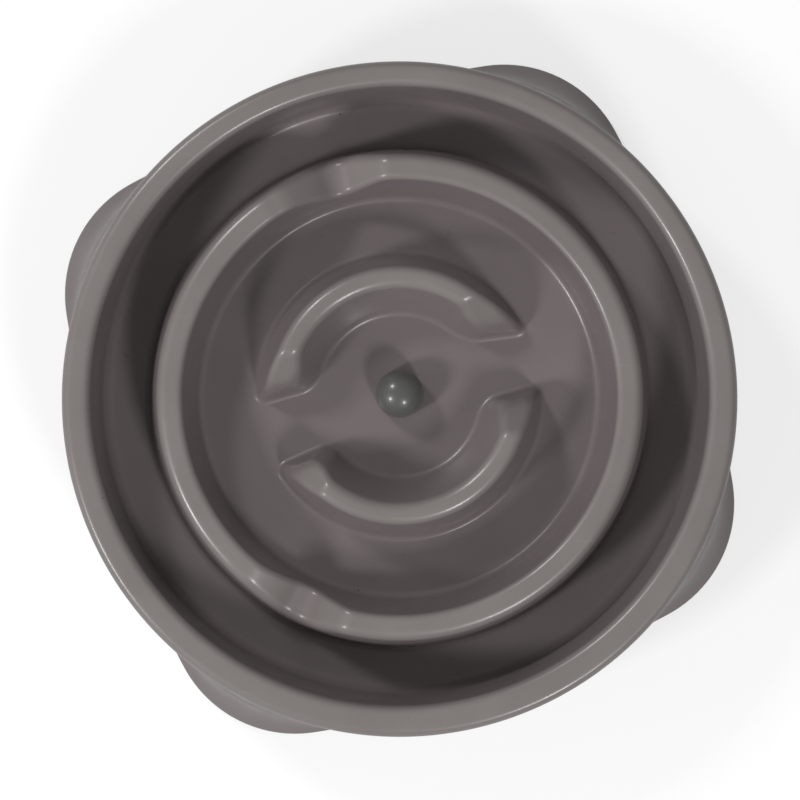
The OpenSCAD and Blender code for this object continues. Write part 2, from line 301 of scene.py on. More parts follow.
@dataclass(frozen=True)
class MouldedPlastic(Finish):
    """Smooth moulded plastic with a soft gloss, faint flow marks, fine scuffs, a few specks, and a lighter
    colour on raised level faces that is partly wear and partly painted sheen.
    """

    # Lighter, yellower colour where the mask is full: partly wear, partly painted sheen on raised level
    # faces.
    worn_and_sheen: Tint
    roughness: float = 0.34
    roughness_range: float = 0.07
    satin: Clouds = Clouds(cells=85.0, detail=5.0, low=0.3, high=0.7)
    refraction: float = 1.49
    specular: float = 0.36
    coat: float = 0.18
    coat_roughness: float = 0.16
    mottle: Clouds = Clouds(cells=24.0, detail=4.0, low=0.35, high=0.65)
    mottle_share: float = 0.045
    waves: Relief = Relief(cells=46.0, detail=1.0, strength=0.22, depth=0.0006)
    grain: Relief = Relief(cells=1300.0, detail=2.0, strength=0.1, depth=0.00006)
    streaks: tuple[Streaks, Streaks] = (
        Streaks(turn=28.0, cells_along=45.0, cells_across=1500.0),
        Streaks(turn=-51.0, cells_along=60.0, cells_across=1900.0),
    )
    streak_range: tuple[float, float] = (0.68, 0.74)
    patches: Clouds = Clouds(cells=38.0, detail=2.0, low=0.48, high=0.62)
    scuff_share: float = 1.0
    scuff_lift: float = 0.1
    scuff_tone: float = 2.4
    scuff_dulling: float = 0.16
    scuff_strength: float = 0.12
    scuff_depth: float = 0.00005
    speck_share: float = 0.12
    speck_cells: float = 130.0
    speck_range: tuple[float, float] = (0.035, 0.055)
    speck_tone: float = 0.16

    def scuffs(self, bench: NodeBench, place: Socket) -> Socket:
        """Fine streaks in patches, on the raised level surfaces that the wear and sheen mask marks.

        Args:
            bench: Bench of the material.
            place: Position on the surface.

        Returns:
            The socket of the streaks, 0 where there are none and up to 1.
        """
        both = bench.sum_of(MathKind.MOST, *[streaks.share(bench, place) for streaks in self.streaks])
        drawn = bench.spread(both, *self.streak_range)
        patched = bench.sum_of(MathKind.TIMES, drawn, self.patches.share(bench, place))
        return bench.sum_of(MathKind.TIMES, patched, bench.wear_and_sheen())

    def specks(self, bench: NodeBench, place: Socket) -> Socket:
        """A few small dark specks in the plastic.

        Args:
            bench: Bench of the material.
            place: Position on the surface.

        Returns:
            The socket of the specks, 1 on a speck.
        """
        cells = bench.add("ShaderNodeTexVoronoi", {"Vector": place, "Scale": self.speck_cells})
        dots = bench.spread(cells.outputs["Distance"], *self.speck_range, 1.0, 0.0)
        chosen = bench.sum_of(MathKind.ABOVE, cells.outputs["Color"], 1.0 - self.speck_share)
        return bench.sum_of(MathKind.TIMES, dots, chosen)

    def colour(self, bench: NodeBench, place: Socket, scuffs: Socket) -> Socket:
        """Colour with its mottle, its wear and painted sheen, scuffs and specks.

        Args:
            bench: Bench of the material.
            place: Position on the surface.
            scuffs: Socket of the scuffs.

        Returns:
            The socket of the colour.
        """
        tones = []
        # Each tone runs from the plain tint, darker low down as painted shade, to the worn one, lighter up
        # top as wear and painted sheen.
        for share in (1.0 - self.mottle_share, 1.0 + self.mottle_share):
            tones.append(bench.blend(bench.wear_and_sheen(), self.tint.scaled(share), self.worn_and_sheen.scaled(share)))
        plain = bench.blend(self.mottle.share(bench, place), *tones)
        lifted = bench.sum_of(MathKind.TIMES, scuffs, self.scuff_lift * self.scuff_share)
        scuffed = bench.blend(lifted, plain, self.tint.scaled(self.scuff_tone))
        return bench.blend(self.specks(bench, place), scuffed, self.tint.scaled(self.speck_tone))

    def inputs(self, bench: NodeBench, place: Socket) -> dict[str, Socket | float]:
        """Value or socket for each input of the shader.

        Args:
            bench: Bench of the material.
            place: Position on the surface.

        Returns:
            The values, by the name of their input.
        """
        scuffs = self.scuffs(bench, place)
        least = self.roughness - self.roughness_range
        most = self.roughness + self.roughness_range
        dulled = bench.sum_of(MathKind.TIMES, scuffs, self.scuff_dulling * self.scuff_share)
        waves = self.waves.normal(bench, place)
        grain = self.grain.normal(bench, place, waves)
        return {
            "Base Color": self.colour(bench, place, scuffs),
            "Roughness": bench.sum_of(MathKind.ADD, self.satin.share(bench, place, least, most), dulled),
            "IOR": self.refraction,
            "Specular IOR Level": self.specular,
            "Coat Weight": self.coat,
            "Coat Roughness": self.coat_roughness,
            "Normal": bench.bump(scuffs, self.scuff_strength, self.scuff_depth, grain),
            "Coat Normal": waves,
        }


@dataclass(frozen=True)
class PadRubber(Finish):
    """Matt moulded rubber with a fine grain and some dust."""

    roughness: float = 0.72
    roughness_range: float = 0.1
    matting: Clouds = Clouds(cells=400.0, detail=3.0, low=0.3, high=0.7)
    refraction: float = 1.5
    dust: Clouds = Clouds(cells=220.0, detail=5.0, low=0.5, high=0.75)
    dust_share: float = 0.3
    dust_tone: float = 4.0
    grain: Relief = Relief(cells=2400.0, detail=3.0, strength=0.35, depth=0.00012)

    def inputs(self, bench: NodeBench, place: Socket) -> dict[str, Socket | float]:
        """Value or socket for each input of the shader.

        Args:
            bench: Bench of the material.
            place: Position on the surface.

        Returns:
            The values, by the name of their input.
        """
        dust = self.dust.share(bench, place, 0.0, self.dust_share)
        least = self.roughness - self.roughness_range
        most = self.roughness + self.roughness_range
        return {
            "Base Color": bench.blend(dust, self.tint.scaled(1.0), self.tint.scaled(self.dust_tone)),
            "Roughness": self.matting.share(bench, place, least, most),
            "IOR": self.refraction,
            "Normal": self.grain.normal(bench, place),
        }


# The worn tint is lighter and yellower than the plain one: partly wear, partly painted sheen on raised level
# faces, with the plain tint low in the bowl as painted shade.
BOWL_PLASTIC = MouldedPlastic(
    name="warm grey bowl plastic",
    slot="bowl_plastic",
    tint=Tint(0.168, 0.142, 0.144),
    worn_and_sheen=Tint(0.199, 0.179, 0.172),
)
# The knob's tint is far darker than the bowl's: painted shade of the deep pit round it, with a cooler hue
# that is the knob's own.
KNOB_PLASTIC_WITH_PAINTED_SHADE = MouldedPlastic(
    name="cool grey knob plastic with painted shade",
    slot="knob_plastic",
    tint=Tint(0.095, 0.097, 0.090),
    worn_and_sheen=Tint(0.095, 0.097, 0.090),
    coat=0.3,
    scuff_share=0.5,
)
PAD_RUBBER = PadRubber(name="pad rubber", slot="pad_rubber", tint=Tint(0.03, 0.03, 0.031))


def dress(piece: bpy.types.Object, finish: Finish) -> None:
    """Gives a piece its finish."""
    piece.data.materials.append(bpy.data.materials.get(finish.name) or finish.material())


class Surface:
    """Points and faces of one piece, gathered before its mesh is made."""

    def __init__(self) -> None:
        """Starts with no points."""
        self.points: list[Array] = []
        self.faces: list[tuple[int, ...]] = []
        self.count = 0

    def hold(self, points: Array) -> Array:
        """Adds points.

        Args:
            points: One row of x, y and z for each point, in millimetres.

        Returns:
            Their numbers.
        """
        numbers = np.arange(self.count, self.count + len(points))
        self.points.append(points)
        self.count += len(points)
        return numbers

    def band(self, first: Array, second: Array) -> None:
        """Joins two closed rows of points with a band of faces.

        Args:
            first: Numbers of the first row's points, or of one point.
            second: Numbers of the second row's points, or of one point.
        """
        if len(first) == 1:
            self.faces += zip(np.repeat(first, len(second)), np.roll(second, -1), second)
        elif len(second) == 1:
            self.faces += zip(first, np.roll(first, -1), np.repeat(second, len(first)))
        else:
            self.faces += zip(first, np.roll(first, -1), np.roll(second, -1), second)

    def turned(self, profile: Array, middle: Sequence[float], turns: int) -> None:
        """Adds a closed form turned about an upright axis.

        Args:
            profile: Radius and height of each point, from the top of the axis to its foot.
            middle: Place of the axis.
            turns: Number of points in a full turn.
        """
        angles = np.arange(turns) * 2.0 * np.pi / turns
        rows = []
        for radius, height in profile:
            if radius == 0.0:
                ring = np.array([[middle[0], middle[1], height]])
            else:
                x = middle[0] + radius * np.cos(angles)
                y = middle[1] + radius * np.sin(angles)
                ring = np.column_stack((x, y, np.full(turns, height)))
            rows.append(self.hold(ring))
        for first, second in zip(rows[1:], rows):
            self.band(first, second)

    def piece(self, name: str) -> bpy.types.Object:
        """Makes the object.

        Args:
            name: Name of the piece.

        Returns:
            The new object, with smooth faces.
        """
        mesh = bpy.data.meshes.new(name)
        faces = [tuple(int(number) for number in face) for face in self.faces]
        mesh.from_pydata((np.vstack(self.points) * MM).tolist(), [], faces)
        mesh.polygons.foreach_set("use_smooth", [True] * len(mesh.polygons))
        mesh.validate()
        mesh.update()
        made = bpy.data.objects.new(name, mesh)
        bpy.context.scene.collection.objects.link(made)
        return made


@dataclass
class Row:
    """One closed row of points round the bowl."""

    reach: Array | float
    height: Array | float
    shift: float = 0.0

    def points(self, angles: Array) -> Array:
        """Places of the row's points, in directions from its own middle in radians."""
        along = (self.reach * np.cos(angles), self.shift + self.reach * np.sin(angles))
        return np.column_stack((*along, np.broadcast_to(self.height, angles.shape)))


@dataclass(frozen=True)
class FootLobes:
    """Four lobes that carry the pads, each swept up into the skirt."""

    count: int = 4
    turn: float = 63.4
    plan_r: float = 51.2
    tip_r: float = 145.98
    top_r: float = 36.8
    sweep_r: float = 60.0
    edge_round: float = 2.0
    edge_h: float = 1.3
    blend: float = 6.0
    fade_h: float = 10.0
    edge_steps: int = 5
    sweep_steps: int = 22

    @property
    def axis_r(self) -> float:
        """Distance from the bowl's middle to a lobe's own axis."""
        return self.tip_r - self.plan_r

    @property
    def sweep_axis_r(self) -> float:
        """Distance from a lobe's axis to the middle of its sweep."""
        return self.top_r + self.sweep_r

    @property
    def edge_axis_r(self) -> float:
        """Distance from a lobe's axis to the middle of its edge rounding."""
        return self.plan_r - self.edge_round

    @property
    def meet_turn(self) -> float:
        """Direction in which the edge rounding meets the sweep, above the level, in radians."""
        return math.acos((self.sweep_axis_r - self.edge_axis_r) / (self.sweep_r + self.edge_round))

    def sweep_axis_h(self, gap: float) -> float:
        """Height of the middle of the sweep above the table, where gap is the height of the lower edge."""
        return gap + self.edge_h + (self.sweep_r + self.edge_round) * math.sin(self.meet_turn)

    def plan_reach(self, height: float, gap: float) -> float:
        """Radius of a lobe about its own axis.

        Args:
            height: Height above the table.
            gap: Height of the bowl's lower edge.

        Returns:
            The radius at that height.
        """
        edge_axis_h = gap + self.edge_h
        meet_h = edge_axis_h + self.edge_round * math.sin(self.meet_turn)
        if height <= edge_axis_h:
            return self.plan_r
        if height <= meet_h:
            rise = height - edge_axis_h
            return self.edge_axis_r + math.sqrt(self.edge_round**2 - rise**2)
        fall = max(self.sweep_axis_h(gap) - height, 0.0)
        return self.sweep_axis_r - math.sqrt(self.sweep_r**2 - fall**2)

    def reach(self, angles: Array, height: float, gap: float) -> Array:
        """Distance from the bowl's middle to the outside of the lobes.

        Args:
            angles: Directions from the bowl's middle, in radians.
            height: Height above the table.
            gap: Height of the bowl's lower edge.

        Returns:
            The distance in each direction, or 0 where there is no lobe.
        """
        step = 360.0 / self.count
        off = np.radians((np.degrees(angles) - self.turn + step / 2.0) % step - step / 2.0)
        inside = self.plan_reach(height, gap) ** 2 - (self.axis_r * np.sin(off)) ** 2
        far = self.axis_r * np.cos(off) + np.sqrt(np.maximum(inside, 0.0))
        return np.where(inside > 0.0, far, 0.0)

    def heights(self, gap: float) -> Array:
        """Heights of the rows that follow the lobes' edge and sweep.

        Args:
            gap: Height of the bowl's lower edge.

        Returns:
            The heights, from the edge upwards.
        """
        edge_turns = self.meet_turn * np.arange(self.edge_steps + 1) / self.edge_steps
        sweep_turns = self.meet_turn * (1.0 - np.arange(1, self.sweep_steps + 1) / self.sweep_steps)
        edge = gap + self.edge_h + self.edge_round * np.sin(edge_turns)
        sweep = self.sweep_axis_h(gap) - self.sweep_r * np.sin(sweep_turns)
        return np.concatenate((edge, sweep))


@dataclass(frozen=True)
class Ridge:
    """Section that the ring ridge and the arc ridges share."""

    foot_in_r: float
    foot_out_r: float
    lean_in: float
    lean_out: float
    rise: float
    round_in: float
    round_out: float
    foot_round: float
    shift: float
    # Points lie on rays from a core below the ridge, and are found by halving the stretch they can be in.
    core_depth: float = 9.0
    ray_slack: float = 3.0
    halvings: int = 26
    flank_steps: int = 30
    top_steps: int = 18
    apron_shares: tuple[float, ...] = (1.15, 0.8, 0.55, 0.3, 0.12)

    @property
    def middle_r(self) -> float:
        """Radius of the ridge's middle line."""
        return (self.foot_in_r + self.foot_out_r) / 2.0

    def flanks(self, reach: Array, above: Array) -> tuple[Array, Array]:
        """Distances outside the two flanks.

        Args:
            reach: Distance from the ridge's own middle.
            above: Height above the floor.

        Returns:
            Distances outside the inner and the outer flank.
        """
        share = above / self.rise
        inner = self.foot_in_r + self.lean_in * share - reach
        outer = reach - self.foot_out_r + self.lean_out * share
        return inner * leaning(self.lean_in, self.rise), outer * leaning(self.lean_out, self.rise)

    def section(self, floor_h: float) -> Array:
        """Places on the ridge's straight outline through which its points are drawn.

        Args:
            floor_h: Height of the floor.

        Returns:
            Radius and height of each place, from outside to inside.
        """
        corners = np.array(
            [
                [self.foot_out_r, floor_h],
                [self.foot_out_r - self.lean_out, floor_h + self.rise],
                [self.foot_in_r + self.lean_in, floor_h + self.rise],
                [self.foot_in_r, floor_h],
            ]
        )
        apron = self.foot_round * np.array(self.apron_shares)
        path = [np.column_stack((self.foot_out_r + apron, np.full(len(apron), floor_h))), corners[:1]]
        counts = (self.flank_steps, self.top_steps, self.flank_steps)
        for first, last, steps in zip(corners, corners[1:], counts):
            path.append(first + close_at_ends(steps)[:, None] * (last - first))
        path.append(np.column_stack((self.foot_in_r - apron[::-1], np.full(len(apron), floor_h))))
        return np.vstack(path)

    def gap(self, reach: Array, angles: Array, above: Array) -> Array:
        """Distance outside the ridge, which each kind of ridge works out."""
        raise NotImplementedError

    def rows(self, angles: Array, floor_h: float) -> list[Row]:
        """Rows of points on the ridge's surface and the corners at its feet.

        Args:
            angles: Directions from the ridge's middle, in radians.
            floor_h: Height of the floor.

        Returns:
            The rows, from outside to inside.
        """
        core = np.array([self.middle_r, floor_h - self.core_depth])
        way = self.section(floor_h) - core
        slack = self.ray_slack / np.hypot(way[:, 0], way[:, 1])
        near = np.zeros((len(way), len(angles)))
        far = np.repeat((1.0 + slack)[:, None], len(angles), axis=1)
        for _ in range(self.halvings):
            middle = (near + far) / 2.0
            above = core[1] + way[:, 1:] * middle - floor_h
            ridge = self.gap(core[0] + way[:, :1] * middle, angles[None, :], above)
            outside = round_join(above, ridge, self.foot_round) > 0.0
            near = np.where(outside, near, middle)
            far = np.where(outside, middle, far)
        reach = core[0] + way[:, :1] * near
        height = core[1] + way[:, 1:] * near
        return [Row(r, h, self.shift) for r, h in zip(reach, height)]


@dataclass(frozen=True)
class Dip:
    """Scooped place in the ring ridge's top, with a steady ramp on one side and a rolled other side."""

    turn: float
    # 1 has the rolled side counter-clockwise of the middle, and -1 clockwise of it.
    way: float
    depth: float = 16.0
    ramp_sweep: float = 12.0
    roll_sweep: float = 16.5
    roll_power: float = 1.35
    valley_blend: float = 10.0
    brow_blend: float = 2.4

    def fall(self, turn: Array) -> Array:
        """How far the top falls.

        Args:
            turn: Directions, in degrees.

        Returns:
            The fall in each direction.
        """
        off = self.way * degrees_between(turn, self.turn)
        left = 1.0 - off / self.roll_sweep
        ramp = -self.depth * off / self.ramp_sweep
        roll = self.depth * (1.0 - np.sign(left) * np.abs(left) ** self.roll_power)
        rise = soft_max(ramp, roll, self.valley_blend)
        return soft_max(self.depth - rise, 0.0, self.brow_blend)


@dataclass(frozen=True)
class RingRidge(Ridge):
    """Closed ridge with two dips, between the outer and the inner trough."""

    dips: tuple[Dip, ...] = ()
    # Step in degrees over which the slope of the top is measured.
    nudge: float = 0.25

    def gap(self, reach: Array, angles: Array, above: Array) -> Array:
        """Distance outside the ridge.

        Args:
            reach: Distance from the ridge's middle.
            angles: Directions, in radians.
            above: Height above the floor.

        Returns:
            The distance, negative inside the ridge.
        """
        inner, outer = self.flanks(reach, above)
        turn = np.degrees(angles)
        fall = sum(dip.fall(turn) for dip in self.dips)
        more = sum(dip.fall(turn + self.nudge) for dip in self.dips) - fall
        slope = more / (math.radians(self.nudge) * self.middle_r)
        top = (above - self.rise + fall) / np.sqrt(1.0 + slope * slope)
        return np.maximum(round_meet(inner, top, self.round_in), round_meet(outer, top, self.round_out))


@dataclass(frozen=True)
class ArcEnd:
    """Blunt end of an arc ridge, with a ramp that falls towards it."""

    turn: float
    # 1 for the counter-clockwise end of its ridge, and -1 for the clockwise one.
    way: float
    slant: float
    # The top starts to fall this far before the foot of the end.
    run: float
    ramp_slant: float = 0.0
    corner_in: float = 5.5
    corner_out: float = 4.2
    slope: float = 0.8
    brow_blend: float = 1.6
    lean: float = 5.0
    # Past this angle from the end, a place isn't compared with it.
    sway: float = 62.0

    def fall(self, past: Array) -> Array:
        """How far the top falls, where past is the distance in plan beyond the foot of the end."""
        return soft_max(self.slope * (past + self.run), 0.0, self.brow_blend)

    def past(self, reach: Array, angles: Array, middle_r: float, slant: float) -> Array:
        """Distance in plan beyond the middle of the foot of the end.

        Args:
            reach: Distance from the ridge's middle.
            angles: Directions, in radians.
            middle_r: Radius of the ridge's middle line.
            slant: Angle from the way the ridge runs to the way the distance is measured, in degrees.

        Returns:
            The distance, negative on the ridge's side, and far below 0 away from the end.
        """
        at = math.radians(self.turn)
        face = at + self.way * (math.pi / 2.0 + math.radians(slant))
        x = reach * np.cos(angles) - middle_r * math.cos(at)
        y = reach * np.sin(angles) - middle_r * math.sin(at)
        beyond = x * math.cos(face) + y * math.sin(face)
        off = np.abs(degrees_between(np.degrees(angles), self.turn))
        return np.where(off < self.sway, beyond, -middle_r)


@dataclass(frozen=True)
class ArcRidges(Ridge):
    """Two arc ridges round the centre pit, with a gap between their ends on each side."""

    ends: tuple[tuple[ArcEnd, ArcEnd], ...] = ()
    end_room: float = 15.0

    def gap(self, reach: Array, angles: Array, above: Array) -> Array:
        """Distance outside the two ridges.

        Args:
            reach: Distance from the ridges' middle.
            angles: Directions, in radians.
            above: Height above the floor.

        Returns:
            The distance, negative inside a ridge.
        """
        inner, outer = self.flanks(reach, above)
        turn = np.degrees(angles)
        nearest = np.full(np.broadcast(reach, angles, above).shape, np.inf)
        for first, last in self.ends:
            middle = first.turn + (last.turn - first.turn) / 2.0
            inside = np.abs(degrees_between(turn, middle)) < (last.turn - first.turn) / 2.0 + self.end_room
            body = np.maximum(inner, outer)
            fall = 0.0
            for end in (first, last):
                past = end.past(reach, angles, self.middle_r, end.slant)
                face = (past + end.lean * above / self.rise) * leaning(end.lean, self.rise)
                corners = (round_meet(face, inner, end.corner_in), round_meet(face, outer, end.corner_out))
                body = np.maximum(body, np.maximum(*corners))
                fall = fall + end.fall(end.past(reach, angles, self.middle_r, end.ramp_slant))
            top = round_meet(body, above - self.rise + fall, self.round_out)
            nearest = np.minimum(nearest, np.where(inside, top, np.inf))
        return nearest


@dataclass(frozen=True)
class BowlBody:
    """One-piece moulded bowl: rim, skirt, lobes, floor, ridges, knob socket and pad posts."""

    top_h: float
    edge_gap: float
    rim_r: float = 132.5
    rim_w: float = 11.2
    rim_crown: float = 0.35
    rim_round_out: float = 3.4
    rim_round_in: float = 3.3
    rim_lead: float = 1.8
    mouth_shift: float = 1.2
    skirt_lean: float = 1.5
    wall_lean: float = 1.9
    wall_t: float = 2.8
    floor_h: float = 12.0
    floor_round: float = 5.0
    edge_corner: float = 0.8
    edge_corner_rows: int = 4
    round_out_steps: int = 10
    round_in_steps: int = 11
    rim_top_steps: int = 6
    wall_steps: int = 9
    floor_round_steps: int = 9
    outer_floor_rows: int = 3
    inner_floor_rows: int = 4
    pit_floor_rows: int = 6
    socket_r: float = 5.05
    stem_hole_r: float = 3.05
    stem_hole_h: float = 5.6
    stem_hole_edge: float = 0.4
    socket_end_h: float = 4.0
    socket_edge: float = 0.6
    knob_shift: float = 2.1
    post_axis_r: float = 136.0
    post_r: float = 5.0
    post_hole_r: float = 2.05
    post_hole_h: float = 8.4
    post_foot_h: float = 3.0
    post_top_h: float = 22.0
    post_edge: float = 0.4
    post_turns: int = 48
    # The underside follows one in so many rows above it, from the socket out to the lobes' edge.
    under_every: int = 3
    under_last_row: int = 5
    rows_over_socket: int = 6
    under_edge_h: float = 0.5
    under_edge_w: float = 0.4
    evening_steps: int = 30
    # Wear and painted sheen start at this height and this share of level, and are full so much higher and
    # more level; lower faces keep the darker plain colour as painted shade.
    sheen_wear_from_h: float = 21.0
    sheen_wear_over_h: float = 11.0
    sheen_wear_from_level: float = 0.2
    sheen_wear_over_level: float = 0.6
    # Degrees between points, and how far from an arc's end or a dip the closer ones reach.
    fine_step: float = 0.3
    middle_step: float = 0.6
    plain_step: float = 1.2
    fine_span: float = 11.0
    middle_span: float = 20.0
    dip_span: float = 21.0
    last_turn: float = 359.8
    lobes: FootLobes = FootLobes()
    ring: RingRidge = RingRidge(
        foot_in_r=80.7,
        foot_out_r=100.8,
        lean_in=5.6,
        lean_out=4.8,
        rise=27.0,
        round_in=2.2,
        round_out=3.6,
        foot_round=2.5,
        shift=0.8,
        dips=(Dip(turn=106.0, way=1.0), Dip(turn=244.4, way=-1.0)),
    )
    arcs: ArcRidges = ArcRidges(
        foot_in_r=33.5,
        foot_out_r=57.3,
        lean_in=9.8,
        lean_out=6.5,
        rise=25.0,
        round_in=2.9,
        round_out=2.9,
        foot_round=2.0,
        shift=1.5,
        ends=(
            (
                ArcEnd(turn=31.5, way=-1.0, slant=24.0, run=19.0),
                ArcEnd(turn=180.0, way=1.0, slant=16.0, run=17.0),
            ),
            (
                ArcEnd(turn=212.0, way=-1.0, slant=8.0, run=15.0, ramp_slant=-22.0, corner_in=4.6),
                ArcEnd(turn=361.5, way=1.0, slant=14.0, run=16.5),
            ),
        ),
    )

    @property
    def mouth_r(self) -> float:
        """Radius of the mouth at the rim."""
        return self.rim_r - self.rim_w

    @property
    def wall_turn(self) -> float:
        """Lean of the inner wall, in degrees."""
        return math.degrees(math.atan(self.wall_lean / (self.top_h - self.floor_h)))

    def angles(self) -> Array:
        """Directions of the points in a row, closer together where the shape turns fast.

        Returns:
            The directions, in radians.
        """
        ends = [end.turn for pair in self.arcs.ends for end in pair]
        shoulders = [dip.turn for dip in self.ring.dips]
        turns = []
        turn = 0.0
        while turn < self.last_turn:
            turns.append(turn)
            off = min(abs(float(degrees_between(turn, end))) for end in ends)
            dip_off = min(abs(float(degrees_between(turn, dip))) for dip in shoulders)
            if off < self.fine_span:
                turn += self.fine_step
            elif off < self.middle_span or dip_off < self.dip_span:
                turn += self.middle_step
            else:
                turn += self.plain_step
        return np.radians(turns)

    def skirt_reach(self, angles: Array, height: float) -> Array:
        """Distance from the middle to the outside of the skirt and lobes.

        Args:
            angles: Directions, in radians.
            height: Height above the table.

        Returns:
            The distance in each direction.
        """
        skirt = self.rim_r + self.skirt_lean * (self.top_h - height) / (self.top_h - self.edge_gap)
        fade = float(ease((self.top_h - self.rim_round_out - height) / self.lobes.fade_h))
        lobes = self.lobes.reach(angles, height, self.edge_gap)
        return soft_max(skirt, lobes, self.lobes.blend * fade)

    def skirt_rows(self, angles: Array) -> list[Row]:
        """Rows of the skirt and lobes, from the lower edge up to the rim.

        Args:
            angles: Directions, in radians.

        Returns:
            The rows.
        """
        rows = []
        for turn in np.radians(np.linspace(90.0, 0.0, self.edge_corner_rows)):
            height = self.edge_gap + self.edge_corner * (1.0 - math.sin(turn))
            back = self.edge_corner * (1.0 - math.cos(turn))
            rows.append(Row(self.skirt_reach(angles, height) - back, height))
        rim_foot_h = self.top_h - self.rim_round_out
        heights = [*self.lobes.heights(self.edge_gap), rim_foot_h - self.rim_lead, rim_foot_h]
        rows += [Row(self.skirt_reach(angles, height), height) for height in heights]
        return rows

    def rim_rows(self) -> list[Row]:
        """Rows of the rim and inner wall, down to the floor.

        Returns:
            The rows.
        """
        foot_h = self.top_h - self.rim_round_out
        lean = self.skirt_lean * self.rim_round_out / (self.top_h - self.edge_gap)
        outer_axis = (self.rim_r + lean - self.rim_round_out, foot_h)
        inner_axis = (self.mouth_r + self.rim_round_in, self.top_h - self.rim_round_in)
        wall_foot_r = self.mouth_r - self.wall_lean
        tangent = self.floor_round * math.tan(math.radians(90.0 - self.wall_turn) / 2.0)
        floor_axis = (wall_foot_r - tangent, self.floor_h + self.floor_round)
        outer = arc_points(outer_axis, self.rim_round_out, 0.0, 90.0, self.round_out_steps)
        inner = arc_points(inner_axis, self.rim_round_in, 90.0, 180.0 - self.wall_turn, self.round_in_steps)
        foot = arc_points(floor_axis, self.floor_round, -self.wall_turn, -90.0, self.floor_round_steps)
        top_shares = np.arange(1, self.rim_top_steps + 1)[:, None] / self.rim_top_steps
        top = outer[-1] + top_shares * (np.array([inner_axis[0], self.top_h]) - outer[-1])
        wall_shares = np.arange(1, self.wall_steps)[:, None] / self.wall_steps
        wall = inner[-1] + wall_shares * (foot[0] - inner[-1])
        path = np.vstack((outer, top, inner))
        off = (path[:, 0] - (self.rim_r - self.rim_w / 2.0)) / (self.rim_w / 2.0)
        path[:, 1] -= self.rim_crown * off**2
        across = (outer_axis[0] - path[:, 0]) / (outer_axis[0] - inner_axis[0])
        shifts = self.mouth_shift * np.clip(across, 0.0, 1.0)
        rows = [Row(r, h, shift) for (r, h), shift in zip(path, shifts)]
        return rows + [Row(r, h, self.mouth_shift) for r, h in np.vstack((wall, foot))]

    def floor_rows(self, first: Row, last: Row, count: int) -> list[Row]:
        """Rows of level floor between two others.

        Args:
            first: Row outside them.
            last: Row inside them.
            count: Number of rows to make.

        Returns:
            The rows.
        """
        rows = []
        for step in range(1, count + 1):
            share = step / (count + 1)
            reach = first.reach + (last.reach - first.reach) * share
            rows.append(Row(reach, self.floor_h, first.shift + (last.shift - first.shift) * share))
        return rows

    def upper_rows(self, angles: Array) -> list[Row]:
        """Rows of everything that shows from above, from the lower edge to the stem hole.

        Args:
            angles: Directions, in radians.

        Returns:
            The rows.
        """
        rows = self.skirt_rows(angles) + self.rim_rows()
        ring = self.ring.rows(angles, self.floor_h)
        rows += self.floor_rows(rows[-1], ring[0], self.outer_floor_rows) + ring
        arcs = self.arcs.rows(angles, self.floor_h)
        rows += self.floor_rows(rows[-1], arcs[0], self.inner_floor_rows) + arcs
        lip = Row(self.stem_hole_r + self.stem_hole_edge, self.floor_h, self.knob_shift)
        rows += self.floor_rows(rows[-1], lip, self.pit_floor_rows) + [lip]
        rows.append(Row(self.stem_hole_r, self.floor_h - self.stem_hole_edge, self.knob_shift))
        rows.append(Row(self.stem_hole_r, self.stem_hole_h, self.knob_shift))
        return rows

    def evened(self, points: Array, normal: Array, first: int) -> Array:
        """Evens out the underside a little, so that it doesn't fold over in tight corners.

        Args:
            points: Its points, by row and direction.
            normal: Direction towards the upper side at each point, in which none moves.
            first: Number of the first row that may move.

        Returns:
            The moved points.
        """
        moved = points.copy()
        for _ in range(self.evening_steps):
            moved[first:-1] = (moved[first - 1:-2] + 2.0 * moved[first:-1] + moved[first + 1:]) / 4.0
            beside = (np.roll(moved, 1, axis=1) + 2.0 * moved + np.roll(moved, -1, axis=1)) / 4.0
            moved[first:-1] = beside[first:-1]
        nearer = np.sum((moved - points) * normal, axis=2, keepdims=True)
        return moved - np.maximum(nearer, 0.0) * normal

    def under_rows(self, grid: Array, angles: Array) -> list[Array]:
        """Points of the underside, one wall inside those above.

        Args:
            grid: Points of the upper rows, by row and direction.
            angles: Directions, in radians.

        Returns:
            The points of each row, from the middle to the lower edge.
        """
        across = np.roll(grid, -1, axis=1) - np.roll(grid, 1, axis=1)
        along = np.gradient(grid, axis=0)
        normal = np.cross(across, along)
        normal /= np.linalg.norm(normal, axis=2, keepdims=True)
        inner = self.evened(grid - self.wall_t * normal, normal, len(self.skirt_rows(angles)))
        first_row = len(grid) - self.rows_over_socket
        chosen = [*range(first_row, self.under_last_row, -self.under_every), self.under_last_row]
        under_h = self.floor_h - self.wall_t
        socket = [
            Row(self.socket_r - self.socket_edge, self.socket_end_h, self.knob_shift),
            Row(self.socket_r, self.socket_end_h + self.socket_edge, self.knob_shift),
            Row(self.socket_r, under_h - self.socket_edge, self.knob_shift),
            Row(self.socket_r + self.socket_edge, under_h, self.knob_shift),
        ]
        edge = inner[self.under_last_row].copy()
        edge[:, 2] = self.edge_gap + self.under_edge_h
        lip = edge * (1.0 + self.under_edge_w / self.rim_r)
        lip[:, 2] = self.edge_gap
        return [row.points(angles) for row in socket] + [inner[index] for index in chosen] + [edge, lip]

